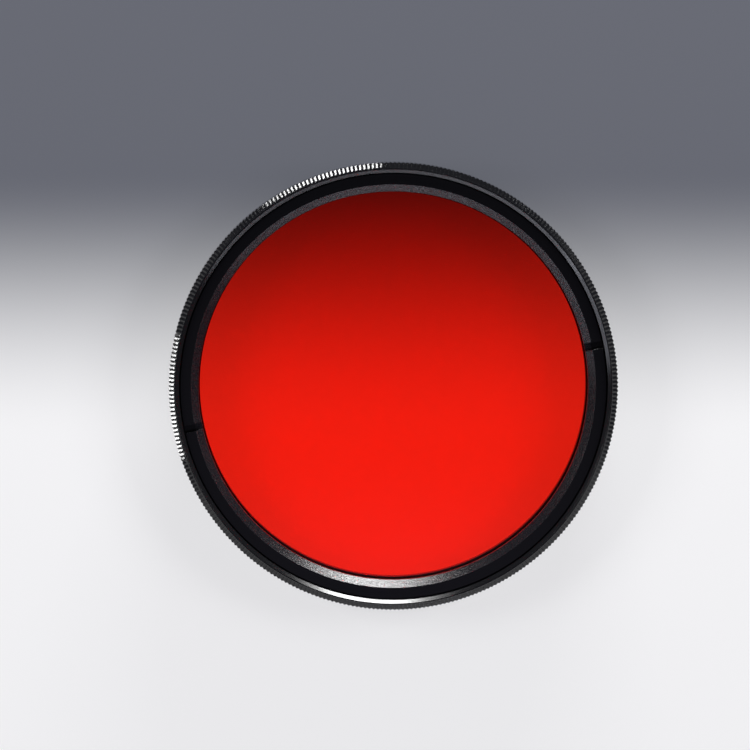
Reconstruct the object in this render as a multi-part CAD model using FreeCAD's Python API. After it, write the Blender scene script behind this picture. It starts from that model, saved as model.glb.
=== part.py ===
import FreeCAD, Part
import math
import os

# A round screw-in optical filter: a knurled metal rim with a male lens thread, a disc of
# red glass that lies in it, and a threaded ring with two spanner slots that holds the glass.
# Millimetres. +Z is the optical axis, towards the front of the filter, and the origin is the
# centre of the rear face, on which the filter lies. The fine threads are plain walls here,
# at the radius of their crests.

# Rim, measured across the axis
lens_thread_radius = 26.0
lens_thread_chamfer = 0.35
relief_depth = 0.5
rim_overhang = 1.0
rim_wall = 1.25
mouth_bevel_width = 0.4
front_edge_width = 0.12
tube_wall = 1.45
seat_width = 1.17
rear_flare_width = 0.85

# Rim, measured along the axis
thread_section_length = 2.6
relief_length = 0.5
web_height = 1.1
rear_flare_height = 0.8
rim_bevel_height = 0.57
mouth_bevel_height = 0.4

# Knurl round the rim
knurl_pitch = 0.51
knurl_land_width = 0.06
knurl_depth = 0.12

# Glass
glass_thickness = 2.0
glass_chamfer = 0.2
glass_clearance = 0.05

# Retaining ring
retainer_height = 1.65
retainer_recess = 0.75
retainer_face_width = 1.36
retainer_bore_land = 0.78
retainer_bore_setback = 0.14
retainer_edge_chamfer = 0.12
retainer_clearance = 0.05
clamping_gap = 0.3
slot_width = 0.9
slot_depth = 1.2
slot_angle = 11.5

# Radii that follow from the sizes above
rim_radius = lens_thread_radius + rim_overhang
retainer_pocket_radius = rim_radius - rim_wall
mouth_radius = retainer_pocket_radius + mouth_bevel_width
front_edge_radius = mouth_radius + front_edge_width
relief_radius = lens_thread_radius - relief_depth
glass_pocket_radius = lens_thread_radius - tube_wall
glass_radius = glass_pocket_radius - glass_clearance
aperture_radius = glass_radius - seat_width
retainer_radius = retainer_pocket_radius - retainer_clearance
retainer_face_radius = retainer_radius - retainer_face_width
retainer_bore_radius = aperture_radius + retainer_bore_setback

# Heights that follow from the sizes above
shoulder_z = thread_section_length
retainer_pocket_z = shoulder_z + web_height
glass_front_z = retainer_pocket_z + clamping_gap
seat_z = glass_front_z - glass_thickness
retainer_front_z = glass_front_z + retainer_height
front_z = retainer_front_z + retainer_recess

ORIGIN = FreeCAD.Vector(0, 0, 0)
OPTICAL_AXIS = FreeCAD.Vector(0, 0, 1)
FULL_TURN = 360.0


def on_circle(radius, angle, z):
    """The point at a radius and an angle, in radians, round the optical axis."""
    return FreeCAD.Vector(radius * math.cos(angle), radius * math.sin(angle), z)


def outline(profile):
    """The profile's radius and height pairs as points in the plane of X and Z."""
    return [FreeCAD.Vector(radius, 0, z) for radius, z in profile]


def turned(profile):
    """A solid of revolution, from a closed profile of radius and height pairs."""
    points = outline(profile)
    section = Part.Face(Part.makePolygon(points + points[:1]))
    return section.revolve(ORIGIN, OPTICAL_AXIS, FULL_TURN)


def facet(*points):
    """A flat face with these corners."""
    return Part.Face(Part.makePolygon([*points, points[0]]))


class Knurl:
    """Straight teeth round the rim, each a flat land and a V groove.

    The grooves run along the axis, follow the bevel at each end and come to nothing where
    the bevel meets the end face.
    """

    count = round(math.tau * rim_radius / knurl_pitch)
    pitch_angle = math.tau / count
    half_land = knurl_land_width / rim_radius / 2
    low_z = shoulder_z + rim_bevel_height
    high_z = front_z - rim_bevel_height

    def corners(self, z):
        """Both land corners, the groove's root and the next land's corner at one height."""
        return (
            on_circle(rim_radius, -self.half_land, z),
            on_circle(rim_radius, self.half_land, z),
            on_circle(rim_radius - knurl_depth, self.pitch_angle / 2, z),
            on_circle(rim_radius, self.pitch_angle - self.half_land, z),
        )

    def wall(self):
        """The land and the two flanks between the bevels."""
        low = self.corners(self.low_z)
        high = self.corners(self.high_z)
        return [facet(low[i], low[i + 1], high[i + 1], high[i]) for i in range(len(low) - 1)]

    def bevel(self, knurl_z, end_z):
        """The land's bevel, the two flanks that run out on it and the groove's sloping root."""
        first, last, root, following = self.corners(knurl_z)
        end_first = on_circle(front_edge_radius, -self.half_land, end_z)
        end_last = on_circle(front_edge_radius, self.half_land, end_z)
        end_following = on_circle(front_edge_radius, self.pitch_angle - self.half_land, end_z)
        return [
            facet(first, last, end_last, end_first),
            facet(last, root, end_last),
            facet(root, following, end_following),
            facet(root, end_following, end_last),
        ]

    def skin(self):
        """Every face of the knurl: one tooth's faces, repeated round the axis."""
        faces = self.wall()
        faces += self.bevel(self.low_z, shoulder_z)
        faces += self.bevel(self.high_z, front_z)
        tooth = Part.makeCompound(faces)
        repeated = []
        for index in range(self.count):
            copy = tooth.copy()
            copy.rotate(ORIGIN, OPTICAL_AXIS, FULL_TURN * index / self.count)
            repeated += copy.Faces
        return repeated

    def end_face(self, inner_radius, z):
        """The flat face inside a bevel's end, round as far in as inner_radius."""
        ends = []
        for index in range(self.count):
            middle = index * self.pitch_angle
            ends.append(on_circle(front_edge_radius, middle - self.half_land, z))
            ends.append(on_circle(front_edge_radius, middle + self.half_land, z))
        outer = Part.makePolygon(ends + ends[:1])
        inner = Part.Wire(Part.makeCircle(inner_radius, FreeCAD.Vector(0, 0, z), OPTICAL_AXIS))
        return Part.makeFace([outer, inner], "Part::FaceMakerBullseye")


def make_mount_ring():
    """The knurled rim, glass seat and threaded tube, turned and knurled from one piece."""
    inside = [
        (mouth_radius, front_z),
        (retainer_pocket_radius, front_z - mouth_bevel_height),
        (retainer_pocket_radius, retainer_pocket_z),
        (glass_pocket_radius, retainer_pocket_z),
        (glass_pocket_radius, seat_z),
        (aperture_radius, seat_z),
        (aperture_radius, rear_flare_height),
        (aperture_radius + rear_flare_width, 0),
    ]
    thread_side = [
        (lens_thread_radius - lens_thread_chamfer, 0),
        (lens_thread_radius, lens_thread_chamfer),
        (lens_thread_radius, shoulder_z - relief_length),
        (relief_radius, shoulder_z - relief_length),
        (relief_radius, shoulder_z),
    ]
    lathe_cut = Part.makePolygon(outline(inside + thread_side))
    turned_faces = lathe_cut.revolve(ORIGIN, OPTICAL_AXIS, FULL_TURN).Faces
    knurl = Knurl()
    end_faces = [knurl.end_face(mouth_radius, front_z), knurl.end_face(relief_radius, shoulder_z)]
    surface = Part.makeShell(turned_faces + end_faces + knurl.skin())
    surface.sewShape()
    return Part.makeSolid(surface)


def make_filter_glass():
    """The flat disc of glass, with both edges bevelled."""
    return turned([
        (0, seat_z),
        (glass_radius - glass_chamfer, seat_z),
        (glass_radius, seat_z + glass_chamfer),
        (glass_radius, glass_front_z - glass_chamfer),
        (glass_radius - glass_chamfer, glass_front_z),
        (0, glass_front_z),
    ])


def make_retaining_ring():
    """The ring that screws down on the glass, coned inside and slotted for a spanner."""
    ring = turned([
        (retainer_bore_radius, glass_front_z),
        (retainer_radius - retainer_edge_chamfer, glass_front_z),
        (retainer_radius, glass_front_z + retainer_edge_chamfer),
        (retainer_radius, retainer_front_z - retainer_edge_chamfer),
        (retainer_radius - retainer_edge_chamfer, retainer_front_z),
        (retainer_face_radius, retainer_front_z),
        (retainer_bore_radius, glass_front_z + retainer_bore_land),
    ])
    corner = FreeCAD.Vector(-retainer_radius, -slot_width / 2, retainer_front_z - slot_depth)
    slots = Part.makeBox(2 * retainer_radius, slot_width, slot_depth, corner)
    slots.rotate(ORIGIN, OPTICAL_AXIS, slot_angle)
    return ring.cut(slots).Solids[0]


makers = {
    "mount_ring": make_mount_ring,
    "filter_glass": make_filter_glass,
    "retaining_ring": make_retaining_ring,
}

os.makedirs("parts", exist_ok=True)
for name, make in makers.items():
    shape = make()
    shape.exportStep(f"parts/{name}.step")
    print(name, shape.ShapeType, shape.isValid(), round(shape.Volume, 2))
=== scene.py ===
import math
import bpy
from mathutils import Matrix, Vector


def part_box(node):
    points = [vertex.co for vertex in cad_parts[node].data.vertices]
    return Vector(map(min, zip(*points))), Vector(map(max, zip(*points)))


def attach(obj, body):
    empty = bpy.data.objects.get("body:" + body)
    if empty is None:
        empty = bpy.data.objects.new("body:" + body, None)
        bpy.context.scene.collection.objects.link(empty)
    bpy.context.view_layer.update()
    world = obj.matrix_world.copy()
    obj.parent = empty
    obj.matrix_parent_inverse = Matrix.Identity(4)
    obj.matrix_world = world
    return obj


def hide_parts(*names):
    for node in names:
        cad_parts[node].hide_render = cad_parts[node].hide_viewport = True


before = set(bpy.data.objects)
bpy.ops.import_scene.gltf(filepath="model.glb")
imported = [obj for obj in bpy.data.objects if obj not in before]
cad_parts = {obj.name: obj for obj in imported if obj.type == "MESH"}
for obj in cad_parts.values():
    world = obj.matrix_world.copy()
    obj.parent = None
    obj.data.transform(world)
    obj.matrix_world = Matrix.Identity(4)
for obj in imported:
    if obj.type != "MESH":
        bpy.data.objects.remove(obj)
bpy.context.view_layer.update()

from types import SimpleNamespace

import bpy
import numpy as np
from mathutils import Matrix, Vector

# Millimetres and degrees, in Blender's metres and radians
MM = 0.001
DEGREE = math.pi / 180
PER_MM = 1 / MM

# Sizes that the solids give
_, RIM_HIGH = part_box("mount_ring")
GLASS_LOW, GLASS_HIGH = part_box("filter_glass")
_, RETAINER_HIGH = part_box("retaining_ring")
RIM_RADIUS = RIM_HIGH[1]
FRONT_Z = RIM_HIGH[2]
GLASS_RADIUS = GLASS_HIGH[1]
SEAT_Z, GLASS_FRONT_Z = GLASS_LOW[2], GLASS_HIGH[2]
RETAINER_RADIUS = RETAINER_HIGH[1]
RETAINER_FRONT_Z = RETAINER_HIGH[2]

# Rim, front and inside
SHOULDER_Z = 2.6 * MM
WEB_HEIGHT = 1.1 * MM
POCKET_RADIUS = RETAINER_RADIUS + 0.05 * MM
MOUTH_RADIUS = POCKET_RADIUS + 0.4 * MM
MOUTH_BEVEL_HEIGHT = 0.4 * MM
FRONT_EDGE_RADIUS = MOUTH_RADIUS + 0.12 * MM
RIM_BEVEL_WIDTH = RIM_RADIUS - FRONT_EDGE_RADIUS
RIM_BEVEL_HEIGHT = 0.57 * MM
GLASS_POCKET_RADIUS = GLASS_RADIUS + 0.05 * MM
APERTURE_RADIUS = GLASS_RADIUS - 1.17 * MM
REAR_FLARE_WIDTH = 0.85 * MM
REAR_FLARE_HEIGHT = 0.8 * MM

# Lens thread, behind the shoulder
THREAD_RADIUS = 26.0 * MM
THREAD_END_CHAMFER = 0.35 * MM
THREAD_PITCH = 0.75 * MM
THREAD_DEPTH = 0.44 * MM
THREAD_RUN_OUT = 0.12 * MM
THREAD_ROWS_PER_PITCH = 12
THREAD_FLANK_SLOPE = 2.7
THREAD_WAVE_TOP = 1.15
RELIEF_RADIUS = 25.5 * MM
RELIEF_LENGTH = 0.5 * MM

# Knurl
KNURL_PITCH = 0.51 * MM
KNURL_DEPTH = 0.12 * MM
KNURL_LAND = 0.06 * MM
KNURL_REAR_SHARE = 0.4
KNURL_BEVEL_ROWS = 10
KNURL_END_POWER = 16
TEETH = round(math.tau * RIM_RADIUS / KNURL_PITCH)
TURNED_COLUMNS = 2 * TEETH

# Retaining ring
RETAINER_FACE_WIDTH = 1.36 * MM
RETAINER_BORE_LAND = 0.78 * MM
RETAINER_BORE_RADIUS = APERTURE_RADIUS + 0.14 * MM
RETAINER_CHAMFER = 0.12 * MM
SLOT_WIDTH = 0.9 * MM
SLOT_DEPTH = 1.2 * MM
SLOT_ANGLE = 11.5 * DEGREE

# Glass
GLASS_CHAMFER = 0.2 * MM
GLASS_POLE_RADIUS = 0.1 * MM

# Edge rounds: their radii, their steps, and how they share a profile's sides
EDGE_ROUND = 0.03 * MM
SEAT_EDGE_ROUND = 0.12 * MM
SLOT_EDGE_ROUND = 0.06 * MM
ROUND_STEPS = 3
ROUND_SIDE_SHARE = 0.45
FLAT_START = 1.1


def rounded(corners, radius):
    """A profile with an arc at each corner between its ends.

    The radius is one number or one for each corner. For the corner B between A and C the arc
    touches BA and BC at a distance d from B, with d = radius * tan(half the turn), no longer
    than 0.45 of the shorter side. Its points are the quadratic curve
    (1-t)^2 P + 2t(1-t) B + t^2 Q between the touching points P and Q. One more point lies
    d/10 before P and one d/10 after Q, so that the flats are shaded flat.
    """
    corners = np.asarray(corners, float)
    radii = np.broadcast_to(radius, len(corners))[1:-1, None]
    inner = corners[1:-1]
    sides = np.stack([corners[:-2], corners[2:]]) - inner
    lengths = np.linalg.norm(sides, axis=-1, keepdims=True)
    back, on = sides / lengths
    turn = math.pi - np.arccos(np.clip((back * on).sum(-1, keepdims=True), -1, 1))
    reach = np.minimum(radii * np.tan(turn / 2), ROUND_SIDE_SHARE * lengths.min(0))
    start, middle, end = (points[:, None] for points in (
        inner + back * reach, inner, inner + on * reach))
    t = np.linspace(0, 1, ROUND_STEPS + 1)[:, None]
    rounds = np.concatenate([
        middle + (start - middle) * FLAT_START,
        (1 - t) ** 2 * start + 2 * t * (1 - t) * middle + t**2 * end,
        middle + (end - middle) * FLAT_START,
    ], 1)
    return np.vstack([corners[:1], rounds.reshape(-1, 2), corners[-1:]])


def swept(radius, height, angle):
    """Points (r cos a, r sin a, z) for arrays of radius, height and angle of one shape."""
    radius, height, angle = np.broadcast_arrays(radius, height, angle)
    return np.stack([radius * np.cos(angle), radius * np.sin(angle), height], -1)


def quads(rows, columns, first=0, close_rows=False, close_columns=True):
    """The faces of a grid whose vertex (i, j) has the index first + i * columns + j."""
    i = np.arange(rows if close_rows else rows - 1)[:, None]
    j = np.arange(columns if close_columns else columns - 1)[None]
    next_i, next_j = (i + 1) % rows, (j + 1) % columns
    corners = [
        row * columns + column
        for row, column in ((i, j), (i, next_j), (next_i, next_j), (next_i, j))
    ]
    return first + np.stack(corners, -1).reshape(-1, 4)


def fan(coarse, fine, turned_over):
    """Triangles between a ring of coarse vertices and a ring of fine ones at the same angles.

    Each coarse vertex reaches half a share of the fine ring to either side, and one more
    triangle closes the space to the next coarse vertex.
    """
    share = len(fine) // len(coarse)
    own = np.arange(len(coarse))
    offsets = np.arange(-(share // 2), share - share // 2)
    near = (own[:, None] * share + offsets) % len(fine)
    following = fine[(near + 1) % len(fine)]
    hub = np.broadcast_to(coarse[:, None], near.shape)
    spokes = np.stack([hub, fine[near], following], -1).reshape(-1, 3)
    closing = np.stack([coarse, following[:, -1], np.roll(coarse, -1)], -1)
    triangles = np.vstack([spokes, closing])
    return triangles[:, ::-1] if turned_over else triangles


def mesh_object(name, vertices, faces, smooth_angle):
    """An object at the origin with this mesh, smooth where faces meet under smooth_angle."""
    mesh = bpy.data.meshes.new(name)
    mesh.from_pydata(np.asarray(vertices).reshape(-1, 3).tolist(), [],
                     [face for block in faces for face in block.tolist()])
    mesh.validate()
    mesh.shade_smooth()
    mesh.set_sharp_from_angle(angle=smooth_angle)
    piece = bpy.data.objects.new(name, mesh)
    bpy.context.scene.collection.objects.link(piece)
    return piece


def rear_to_front(rear, front):
    """A column of rows from the rear end to the front end, each end given from the wall out."""
    return np.concatenate([rear[::-1], front])[:, None]


def knurl_band():
    """The knurled band, from the shoulder's outer edge to the front edge.

    Each row has a land radius and height, on a bevel or on the wall between them. The depth
    of the V grooves is depth * s(row), taken along the surface's normal, and at the corner
    of wall and bevel along the line that halves it, over the cosine of half the turn. s
    falls to 0 at each end as the root of 1 - v^16, with v up the bevel, so that the grooves
    keep their depth along the bevel and end round. The rear end has a share of that depth.
    """
    v = np.sin(np.linspace(0, math.pi / 2, KNURL_BEVEL_ROWS))
    lean = math.atan2(RIM_BEVEL_WIDTH, RIM_BEVEL_HEIGHT)
    land, forward = RIM_RADIUS - v * RIM_BEVEL_WIDTH, v * RIM_BEVEL_HEIGHT
    tilt = np.where(v > 0, lean, lean / 2)
    share = np.where(v > 0, (1 - v**KNURL_END_POWER) ** 0.5, 1 / math.cos(lean / 2))
    radius = rear_to_front(land, land)
    height = rear_to_front(SHOULDER_Z + RIM_BEVEL_HEIGHT - forward,
                           FRONT_Z - RIM_BEVEL_HEIGHT + forward)
    tilt = rear_to_front(-tilt, tilt)
    share = rear_to_front(share * KNURL_REAR_SHARE, share)

    half_land = KNURL_LAND / KNURL_PITCH / 2
    in_pitch = np.array([0, half_land, 0.5, 1 - half_land])
    at_root = np.tile([0, 0, 1, 0], TEETH)[None]
    angle = ((np.arange(TEETH)[:, None] + in_pitch) * math.tau / TEETH).ravel()[None]
    cut = KNURL_DEPTH * at_root * share
    return swept(radius - cut * np.cos(tilt), height - cut * np.sin(tilt), angle)


def thread_wave(height, angle):
    """0 on the lens thread's crest and 1 at its root, one turn a pitch.

    With p from 0 to 1 through a pitch it is 1.15 - 2.7 |p - 1/2|, cut off at 0 and 1. That
    gives flanks at about 60 degrees and a flat on the crest and at the root.
    """
    phase = (height / THREAD_PITCH - angle / math.tau) % 1
    return np.clip(THREAD_WAVE_TOP - THREAD_FLANK_SLOPE * np.abs(phase - 0.5), 0, 1)


def turned_body():
    """The rest of the rim, from the front face inward, down the bore and up the lens thread.

    It is a profile turned round the axis. On the threaded stretch the radius is less by the
    thread's depth times its wave, which fades out at the relief groove and over the chamfer.
    """
    seat_edge = (APERTURE_RADIUS, SEAT_Z)
    inside = [
        (FRONT_EDGE_RADIUS - EDGE_ROUND, FRONT_Z),
        (MOUTH_RADIUS, FRONT_Z),
        (POCKET_RADIUS, FRONT_Z - MOUTH_BEVEL_HEIGHT),
        (POCKET_RADIUS, SHOULDER_Z + WEB_HEIGHT),
        (GLASS_POCKET_RADIUS, SHOULDER_Z + WEB_HEIGHT),
        (GLASS_POCKET_RADIUS, SEAT_Z),
        seat_edge,
        (APERTURE_RADIUS, REAR_FLARE_HEIGHT),
        (APERTURE_RADIUS + REAR_FLARE_WIDTH, 0),
        (THREAD_RADIUS - THREAD_END_CHAMFER, 0),
        (THREAD_RADIUS, THREAD_END_CHAMFER),
    ]
    rounds = [SEAT_EDGE_ROUND if corner == seat_edge else EDGE_ROUND for corner in inside]
    thread_top = SHOULDER_Z - RELIEF_LENGTH
    outside = [
        (THREAD_RADIUS, thread_top),
        (RELIEF_RADIUS, thread_top),
        (RELIEF_RADIUS, SHOULDER_Z),
        (FRONT_EDGE_RADIUS - EDGE_ROUND, SHOULDER_Z),
    ]
    turns = (thread_top - THREAD_END_CHAMFER) / THREAD_PITCH
    rows = round(turns * THREAD_ROWS_PER_PITCH)
    thread_z = np.linspace(THREAD_END_CHAMFER, thread_top, rows + 1)[1:-1]
    thread = np.stack([np.full(rows - 1, THREAD_RADIUS), thread_z], -1)
    profile = np.vstack([rounded(inside, rounds), thread, rounded(outside, EDGE_ROUND)])

    radius, height = profile[:, :1], profile[:, 1:]
    angle = np.linspace(0, math.tau, TURNED_COLUMNS, endpoint=False)[None]
    threaded = (radius > RELIEF_RADIUS) & (height <= thread_top + EDGE_ROUND)
    fading = np.clip((thread_top - height) / THREAD_RUN_OUT, 0, 1)
    fading = fading * np.clip(height / THREAD_END_CHAMFER, 0, 1)
    cut = THREAD_DEPTH * thread_wave(height, angle) * fading * threaded
    return swept(radius - cut, height, angle)


def make_mount_ring():
    """The rim: the turned body and the knurled band, joined by a fan on each flat end face."""
    body, band = turned_body(), knurl_band()
    body_rows, body_columns = body.shape[:2]
    band_rows, band_columns = band.shape[:2]
    first = body_rows * body_columns
    coarse = np.arange(body_columns)
    fine = first + np.arange(band_columns)
    faces = [
        quads(body_rows, body_columns),
        quads(band_rows, band_columns, first),
        fan(coarse + (body_rows - 1) * body_columns, fine, turned_over=False),
        fan(coarse, fine + (band_rows - 1) * band_columns, turned_over=True),
    ]
    vertices = np.vstack([body.reshape(-1, 3), band.reshape(-1, 3)])
    return mesh_object("knurled_rim", vertices, faces, smooth_angle=25 * DEGREE)


def make_filter_glass():
    """The disc: its profile from pole to pole turned round the axis, with the poles closed."""
    profile = rounded([
        (GLASS_POLE_RADIUS, SEAT_Z),
        (GLASS_RADIUS - GLASS_CHAMFER, SEAT_Z),
        (GLASS_RADIUS, SEAT_Z + GLASS_CHAMFER),
        (GLASS_RADIUS, GLASS_FRONT_Z - GLASS_CHAMFER),
        (GLASS_RADIUS - GLASS_CHAMFER, GLASS_FRONT_Z),
        (GLASS_POLE_RADIUS, GLASS_FRONT_Z),
    ], EDGE_ROUND)
    rows, columns = len(profile), TURNED_COLUMNS
    angle = np.linspace(0, math.tau, columns, endpoint=False)[None]
    grid = swept(profile[:, :1], profile[:, 1:], angle)
    poles = np.array([(0, 0, SEAT_Z), (0, 0, GLASS_FRONT_Z)])
    rear_pole, front_pole = rows * columns, rows * columns + 1
    rear_ring = np.arange(columns)
    front_ring = rear_ring + (rows - 1) * columns
    rear = np.stack([np.full(columns, rear_pole), np.roll(rear_ring, -1), rear_ring], -1)
    front = np.stack([np.full(columns, front_pole), front_ring, np.roll(front_ring, -1)], -1)
    return mesh_object("red_glass_disc", np.vstack([grid.reshape(-1, 3), poles]),
                       [quads(rows, columns), rear, front], smooth_angle=30 * DEGREE)


def make_retaining_ring():
    """The retaining ring: two half rings with the full section, and two with the slotted one.

    The half rings run from asin(w/2r) to pi - asin(w/2r), so that their ends are flat and
    the slot is the same width w at every radius r. The slotted stretches fill the rest, and
    their section is closed by the slot's floor.
    """
    floor_z = RETAINER_FRONT_Z - SLOT_DEPTH
    above = rounded([
        (RETAINER_RADIUS, floor_z),
        (RETAINER_RADIUS, RETAINER_FRONT_Z - RETAINER_CHAMFER),
        (RETAINER_RADIUS - RETAINER_CHAMFER, RETAINER_FRONT_Z),
        (RETAINER_RADIUS - RETAINER_FACE_WIDTH, RETAINER_FRONT_Z),
        (RETAINER_BORE_RADIUS, GLASS_FRONT_Z + RETAINER_BORE_LAND),
        (RETAINER_BORE_RADIUS, floor_z),
    ], EDGE_ROUND)
    below = rounded([
        (RETAINER_BORE_RADIUS, floor_z),
        (RETAINER_BORE_RADIUS, GLASS_FRONT_Z),
        (RETAINER_RADIUS - RETAINER_CHAMFER, GLASS_FRONT_Z),
        (RETAINER_RADIUS, GLASS_FRONT_Z + RETAINER_CHAMFER),
        (RETAINER_RADIUS, floor_z),
    ], EDGE_ROUND)
    section = np.vstack([above[:-1], below[:-1]])
    rows, columns = len(section), TEETH
    radius, height = section[:, :1], section[:, 1:]
    reach = np.arcsin(SLOT_WIDTH / 2 / radius)
    along = np.linspace(0, 1, columns)[None]
    angle = reach + along * (math.pi - 2 * reach) + SLOT_ANGLE
    halves = [swept(radius, height, angle + turn).reshape(-1, 3) for turn in (0, math.pi)]

    size = rows * columns
    faces = []
    for first in (0, size):
        starting_wall = first + np.arange(len(above)) * columns
        ending_wall = starting_wall + columns - 1
        faces += [
            quads(rows, columns, first, close_rows=True, close_columns=False),
            starting_wall[None],
            ending_wall[None, ::-1],
        ]
    slotted = np.append(np.arange(len(above) - 1, rows), 0) * columns
    for ending, starting in ((columns - 1, size), (size + columns - 1, 0)):
        ends, starts = slotted + ending, slotted + starting
        faces.append(np.stack([ends, starts, np.roll(starts, -1), np.roll(ends, -1)], -1))
    piece = mesh_object("slotted_retainer", np.vstack(halves), faces, smooth_angle=40 * DEGREE)
    bevel = piece.modifiers.new("slot_edges", "BEVEL")
    bevel.limit_method = "ANGLE"
    bevel.angle_limit = 60 * DEGREE
    bevel.width = SLOT_EDGE_ROUND
    bevel.segments = 2
    return piece


class Value:
    """A number that varies over a surface, with arithmetic that adds the nodes for it."""

    def __init__(self, tree, socket):
        self.tree = tree
        self.socket = socket

    def math(self, operation, *operands):
        node = self.tree.nodes.new("ShaderNodeMath")
        node.operation = operation
        for slot, operand in zip(node.inputs, operands):
            plug(self.tree, slot, operand)
        return Value(self.tree, node.outputs[0])

    def __add__(self, other):
        return self.math("ADD", self, other)

    def __sub__(self, other):
        return self.math("SUBTRACT", self, other)

    def __rsub__(self, other):
        return self.math("SUBTRACT", other, self)

    def __mul__(self, other):
        return self.math("MULTIPLY", self, other)

    def __pow__(self, other):
        return self.math("POWER", self, other)

    __radd__ = __add__
    __rmul__ = __mul__

    def or_more(self, other):
        """The larger of the two."""
        return self.math("MAXIMUM", self, other)

    def over(self, edge, width):
        """0 below edge and 1 above it, rising smoothly over the width round it."""
        node = self.tree.nodes.new("ShaderNodeMapRange")
        node.interpolation_type = "SMOOTHSTEP"
        plug(self.tree, node.inputs["Value"], self)
        node.inputs["From Min"].default_value = edge - width / 2
        node.inputs["From Max"].default_value = edge + width / 2
        return Value(self.tree, node.outputs["Result"])


def plug(tree, slot, value):
    """Feeds a node's input with a Value, a socket or a constant."""
    if isinstance(value, Value):
        value = value.socket
    if isinstance(value, bpy.types.NodeSocket):
        tree.links.new(value, slot)
    else:
        slot.default_value = value


class Finish:
    """A node tree: its nodes, its output and the values that its patterns start from."""

    def __init__(self, owner, output="ShaderNodeOutputMaterial"):
        owner.use_nodes = True
        self.owner = owner
        self.tree = owner.node_tree
        self.tree.nodes.clear()
        self.output = self.tree.nodes.new(output)

    def node(self, kind, settings=None, **inputs):
        """A new node: its settings first, then its inputs by name."""
        node = self.tree.nodes.new(kind)
        for key, value in (settings or {}).items():
            setattr(node, key, value)
        for key, value in inputs.items():
            plug(self.tree, node.inputs[key.replace("_", " ")], value)
        return node

    def place(self):
        """The point itself, and in millimetres its y, its z and its distance r from the axis."""
        point = self.node("ShaderNodeTexCoord").outputs["Object"]
        split = self.node("ShaderNodeSeparateXYZ", Vector=point)
        x, y, z = (Value(self.tree, out) * PER_MM for out in split.outputs)
        return SimpleNamespace(point=point, y=y, z=z, r=(x * x + y * y) ** 0.5)

    def noise(self, point, scale, detail):
        node = self.node("ShaderNodeTexNoise", Vector=point, Scale=scale, Detail=detail)
        return Value(self.tree, node.outputs[0])

    def turning_marks(self, at):
        """Noise of radius and height alone, which runs round the axis."""
        along = self.node("ShaderNodeCombineXYZ", X=at.r * MARKS_PER_MM, Y=at.z * MARKS_PER_MM)
        return self.noise(along.outputs[0], scale=1, detail=3)

    def blend(self, factor, low, high):
        """A colour from low at 0 to high at 1, each of them a socket or three numbers."""
        node = self.node("ShaderNodeMix", {"data_type": "RGBA"})
        plug(self.tree, node.inputs[0], factor)
        for slot, colour in ((node.inputs[6], low), (node.inputs[7], high)):
            plug(self.tree, slot, (*colour, 1) if isinstance(colour, tuple) else colour)
        return node.outputs[2]

    def either(self, factor, first, second):
        """A shader that is the first where the factor is 0 and the second where it is 1."""
        node = self.node("ShaderNodeMixShader")
        for slot, value in zip(node.inputs, (factor, first.outputs[0], second.outputs[0])):
            plug(self.tree, slot, value)
        return node

    def bump(self, height, distance):
        return self.node("ShaderNodeBump", Height=height, Distance=distance).outputs[0]

    def surface(self, shader):
        plug(self.tree, self.output.inputs["Surface"], shader.outputs[0])

    def wear(self, piece):
        """Gives the finish to a piece."""
        piece.data.materials.clear()
        piece.data.materials.append(self.owner)


# Patterns: their fineness, in features to the millimetre
MARKS_PER_MM = 9
NICKS_PER_MM = 4
GRAIN_PER_MM = 8.5
RIM_CLOUD_PER_MM, CONE_CLOUD_PER_MM, HAZE_PER_MM = 0.35, 0.4, 0.25

# Anodised rim: black, with marks and clouds, and nicks on its smoother knurl
ANODISED_IOR = 1.42
RIM_BLACK, RIM_BLACK_CLOUDED = (0.003, 0.003, 0.0035), (0.005, 0.005, 0.006)
RIM_ROUGHNESS = 0.15
RIM_MARK_ROUGHNESS = 0.06
RIM_CLOUD_ROUGHNESS = 0.04
KNURL_SMOOTHNESS = 0.13
RIM_RELIEF = 0.008 * MM
RIM_MARK_HEIGHT, KNURL_NICK_HEIGHT = 0.3, 0.5

# Anodised retaining ring: a turned face and a blasted cone
FACE_BLACK, CONE_BLACK = (0.004, 0.004, 0.005), (0.007, 0.0065, 0.009)
FACE_ROUGHNESS = 0.16
FACE_MARK_ROUGHNESS = 0.05
CONE_GRAIN_ROUGHNESS = 0.7
CONE_SMOOTHNESS = 0.28
CONE_CLOUD_LOW, CONE_CLOUD_SHARE = 0.5, 0.5
CONE_RELIEF = 0.022 * MM
FACE_MARK_HEIGHT = 0.05

# Glass
GLASS_IOR = 1.52
GLASS_RED, GLASS_RED_HAZED = (0.99, 0.019, 0.007), (0.96, 0.021, 0.008)
GROUND_ROUGHNESS = 0.35


def anodised_rim():
    """Black anodised aluminium with fine turning marks that run round the axis."""
    finish = Finish(bpy.data.materials.new("anodised_rim"))
    at = finish.place()
    marks = finish.turning_marks(at)
    cloud = finish.noise(at.point, RIM_CLOUD_PER_MM * PER_MM, detail=4)
    nicks = finish.noise(at.point, NICKS_PER_MM * PER_MM, detail=2)
    outside = at.r.over(FRONT_EDGE_RADIUS / MM, width=0.04)
    knurled = outside * at.z.over(SHOULDER_Z / MM, width=0.04)
    patterned = RIM_ROUGHNESS + RIM_MARK_ROUGHNESS * marks + RIM_CLOUD_ROUGHNESS * cloud
    relief = marks * (1 - knurled) * RIM_MARK_HEIGHT + nicks * knurled * KNURL_NICK_HEIGHT
    finish.surface(finish.node(
        "ShaderNodeBsdfPrincipled",
        Base_Color=finish.blend(cloud, RIM_BLACK, RIM_BLACK_CLOUDED),
        Metallic=0.0,
        Roughness=patterned - KNURL_SMOOTHNESS * knurled,
        Normal=finish.bump(relief, RIM_RELIEF),
        IOR=ANODISED_IOR,
    ))
    return finish


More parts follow.
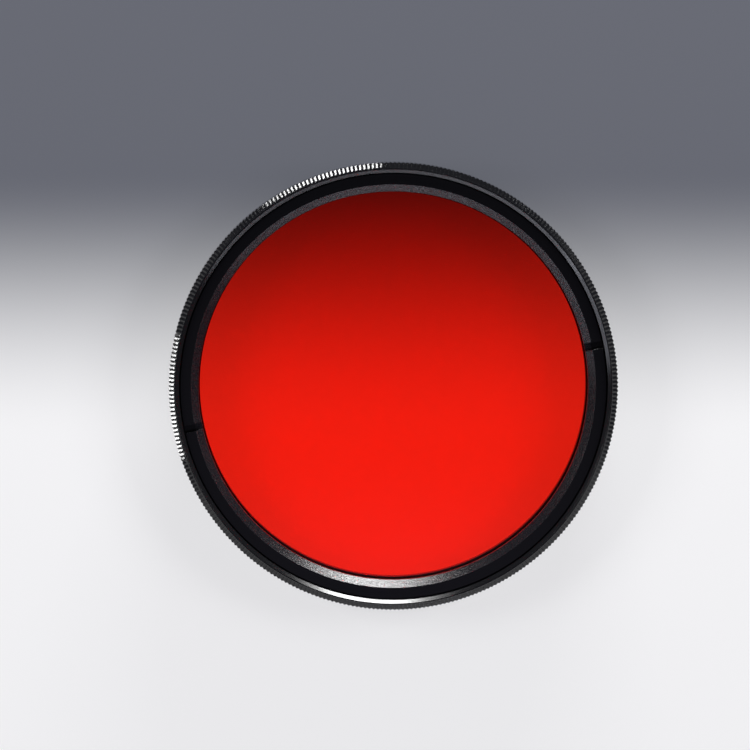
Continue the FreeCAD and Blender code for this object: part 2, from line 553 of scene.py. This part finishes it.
def anodised_retainer():
    """Black anodised aluminium: a fine turned face and a grainy blasted cone inside it."""
    finish = Finish(bpy.data.materials.new("anodised_retainer"))
    at = finish.place()
    blasted = 1 - at.r.over((RETAINER_RADIUS - RETAINER_FACE_WIDTH) / MM, width=0.03)
    marks = finish.turning_marks(at)
    grain = finish.noise(at.point, GRAIN_PER_MM * PER_MM, detail=1)
    cloud = finish.noise(at.point, CONE_CLOUD_PER_MM * PER_MM, detail=3)
    clouded = blasted * (CONE_CLOUD_LOW + cloud * CONE_CLOUD_SHARE)
    turned = FACE_ROUGHNESS + FACE_MARK_ROUGHNESS * marks
    relief = marks * (1 - blasted) * FACE_MARK_HEIGHT + grain * blasted
    finish.surface(finish.node(
        "ShaderNodeBsdfPrincipled",
        Base_Color=finish.blend(clouded, FACE_BLACK, CONE_BLACK),
        Metallic=0.0,
        Roughness=turned + blasted * (CONE_GRAIN_ROUGHNESS * grain - CONE_SMOOTHNESS),
        Normal=finish.bump(relief, CONE_RELIEF),
        IOR=ANODISED_IOR,
    ))
    return finish


def red_glass():
    """Deep red glass, polished on its faces and ground on its edge, that lets lamps through."""
    finish = Finish(bpy.data.materials.new("red_glass"))
    at = finish.place()
    haze = finish.noise(at.point, HAZE_PER_MM * PER_MM, detail=3)
    ground = at.r.over((GLASS_RADIUS - GLASS_CHAMFER) / MM, width=0.05)
    glass = finish.node(
        "ShaderNodeBsdfPrincipled",
        Base_Color=finish.blend(haze, GLASS_RED, GLASS_RED_HAZED),
        Roughness=ground * GROUND_ROUGHNESS,
        Transmission_Weight=1.0,
        IOR=GLASS_IOR,
    )
    for_lamps = finish.node("ShaderNodeBsdfTransparent", Color=(*GLASS_RED, 1))
    path = finish.node("ShaderNodeLightPath")
    finish.surface(finish.either(path.outputs["Is Shadow Ray"], glass, for_lamps))
    return finish


# Studio floor: its colour from far (+Y) to near, darkened far off by painted shade, and how much
# of it is its own light
FLOOR_SIZE = 6.0
FLOOR_Z = -0.02 * MM
# painted shade: the floor's grey far behind the filter, also the room's horizon colour there
FLOOR_FAR_PAINTED_SHADE = (0.145, 0.152, 0.18)
FLOOR_NEAR = (0.985, 0.985, 0.99)
FLOOR_SHADE_Y_MM, FLOOR_SHADE_WIDTH_MM = 9.5, 33
FLOOR_GLOW = 0.62

# Lamps: azimuth, elevation, distance and sides in millimetres, radiance and colour
WHITE, COOL_WHITE = (1, 1, 1), (0.86, 0.89, 1)
LAMPS = {
    "top_softbox": (81, 8.2, 300, (140, 34), 70, WHITE),
    "top_softbox_edge": (82, 8.2, 305, (225, 34), 12, WHITE),
    "front_card": (270, 3.4, 700, (1880, 56), 7.5, COOL_WHITE),
    "left_card": (206.5, 3.2, 700, (390, 50), 6, COOL_WHITE),
    "corner_strip": (149, 0.76, 300, (184, 7), 60, WHITE),
    "high_left": (165, 36, 420, (180, 140), 8.5, WHITE),
    "high_right": (15, 36, 420, (180, 140), 8.5, WHITE),
}

# Room: its colours, and where they fade into each other as middle and width, on a
# direction's Y for the horizon and the ceiling and on its Z for the way up between them
HORIZON_FRONT = (0.25, 0.245, 0.28)
CEILING_FRONT = (0.25, 0.23, 0.32)
CEILING_BACK = (0.02, 0.02, 0.023)
HORIZON_FADE = (-0.4, 0.6)
CEILING_FADE = (-0.135, 0.07)
UPWARD_FADE = (0.3, 0.5)

# Camera: where the rim's centre lies in the picture, and the angle it is seen from
PICTURE_SIZE = 750
CENTRE_X_PX, CENTRE_Y_PX = 393.8, 387.6
PX_PER_MM = 8.34
CAMERA_DISTANCE = 500 * MM
CAMERA_TILT = 4.9 * DEGREE
CAMERA_SIDE = 1.3 * DEGREE
CAMERA_CLIP = (0.01, 20)
SENSOR_WIDTH = 36.0


def floor_finish():
    """A pale floor, darkened to grey behind the filter by painted shade, partly lit by itself.
    """
    finish = Finish(bpy.data.materials.new("studio_floor"))
    # painted shade: the floor's colour falls from pale in front to grey behind the filter
    near = 1 - finish.place().y.over(FLOOR_SHADE_Y_MM, FLOOR_SHADE_WIDTH_MM)
    colour = finish.blend(near, FLOOR_FAR_PAINTED_SHADE, FLOOR_NEAR)
    matt = finish.node("ShaderNodeBsdfDiffuse", Color=colour)
    glow = finish.node("ShaderNodeEmission", Color=colour, Strength=1.0)
    path = finish.node("ShaderNodeLightPath")
    straight, mirrored, through = (
        Value(finish.tree, path.outputs[name])
        for name in ("Is Camera Ray", "Is Glossy Ray", "Is Transmission Ray"))
    glowing = straight.or_more(mirrored).or_more(through) * FLOOR_GLOW
    finish.surface(finish.either(glowing, matt, glow))
    return finish


def make_floor():
    """A flat square just under the filter, clear of its rear face."""
    half = FLOOR_SIZE / 2
    corners = [(x * half, y * half, FLOOR_Z) for x, y in ((-1, -1), (1, -1), (1, 1), (-1, 1))]
    floor = mesh_object("studio_floor", corners, [np.arange(4)[None]], smooth_angle=0)
    floor_finish().wear(floor)


def make_lamp(name, azimuth, elevation, distance_mm, size_mm, radiance, colour):
    """A rectangular lamp that looks at the filter from an azimuth and elevation in degrees.

    Its power is radiance times its area times pi, so that a strength of 1 is white paper.
    """
    light = bpy.data.lights.new(name, "AREA")
    light.shape = "RECTANGLE"
    light.size, light.size_y = (side * MM for side in size_mm)
    light.color = colour
    light.energy = radiance * light.size * light.size_y * math.pi
    holder = bpy.data.objects.new(name, light)
    around, rise = azimuth * DEGREE, elevation * DEGREE
    level = math.cos(rise)
    away = Vector((math.cos(around) * level, math.sin(around) * level, math.sin(rise)))
    holder.location = away * distance_mm * MM
    holder.rotation_mode = "QUATERNION"
    holder.rotation_quaternion = (-away).to_track_quat("-Z", "Y")
    holder.visible_camera = False
    bpy.context.scene.collection.objects.link(holder)


def make_room():
    """The room: grey all round, dark overhead and a little lighter towards the front."""
    world = bpy.data.worlds.new("studio")
    finish = Finish(world, "ShaderNodeOutputWorld")
    direction = finish.node("ShaderNodeTexCoord").outputs["Generated"]
    split = finish.node("ShaderNodeSeparateXYZ", Vector=direction)
    back, up = (Value(finish.tree, split.outputs[axis]) for axis in "YZ")
    horizon = finish.blend(back.over(*HORIZON_FADE), HORIZON_FRONT, FLOOR_FAR_PAINTED_SHADE)
    ceiling = finish.blend(back.over(*CEILING_FADE), CEILING_FRONT, CEILING_BACK)
    colour = finish.blend(up.over(*UPWARD_FADE), horizon, ceiling)
    finish.surface(finish.node("ShaderNodeBackground", Color=colour, Strength=1.0))
    bpy.context.scene.world = world


def make_camera():
    """A long lens that looks down on the filter, leaning towards the top of the picture."""
    data = bpy.data.cameras.new("camera")
    data.sensor_width = SENSOR_WIDTH
    data.lens = SENSOR_WIDTH * CAMERA_DISTANCE / (PICTURE_SIZE / PX_PER_MM * MM)
    data.clip_start, data.clip_end = CAMERA_CLIP
    camera = bpy.data.objects.new("camera", data)
    middle = PICTURE_SIZE / 2
    aim = Vector((middle - CENTRE_X_PX, CENTRE_Y_PX - middle, 0)) / PX_PER_MM * MM
    aim.z = FRONT_Z
    towards = Vector((-math.sin(CAMERA_SIDE), math.sin(CAMERA_TILT), 0))
    towards.z = math.sqrt(1 - towards.length_squared)
    across = Vector((0, 1, 0)).cross(towards).normalized()
    turned = Matrix((across, towards.cross(across), towards)).transposed().to_4x4()
    camera.matrix_world = Matrix.Translation(aim + towards * CAMERA_DISTANCE) @ turned
    bpy.context.scene.collection.objects.link(camera)
    bpy.context.scene.camera = camera


def dress(piece, finish, node):
    """Gives a piece its finish, sets it on the body and lets it stand for its node."""
    finish.wear(piece)
    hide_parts(node)
    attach(piece, "root")


dress(make_mount_ring(), anodised_rim(), "mount_ring")
dress(make_retaining_ring(), anodised_retainer(), "retaining_ring")
dress(make_filter_glass(), red_glass(), "filter_glass")
make_floor()
for lamp_name, lamp_settings in LAMPS.items():
    make_lamp(lamp_name, *lamp_settings)
make_room()
make_camera()
bpy.context.scene.view_settings.view_transform = "Standard"
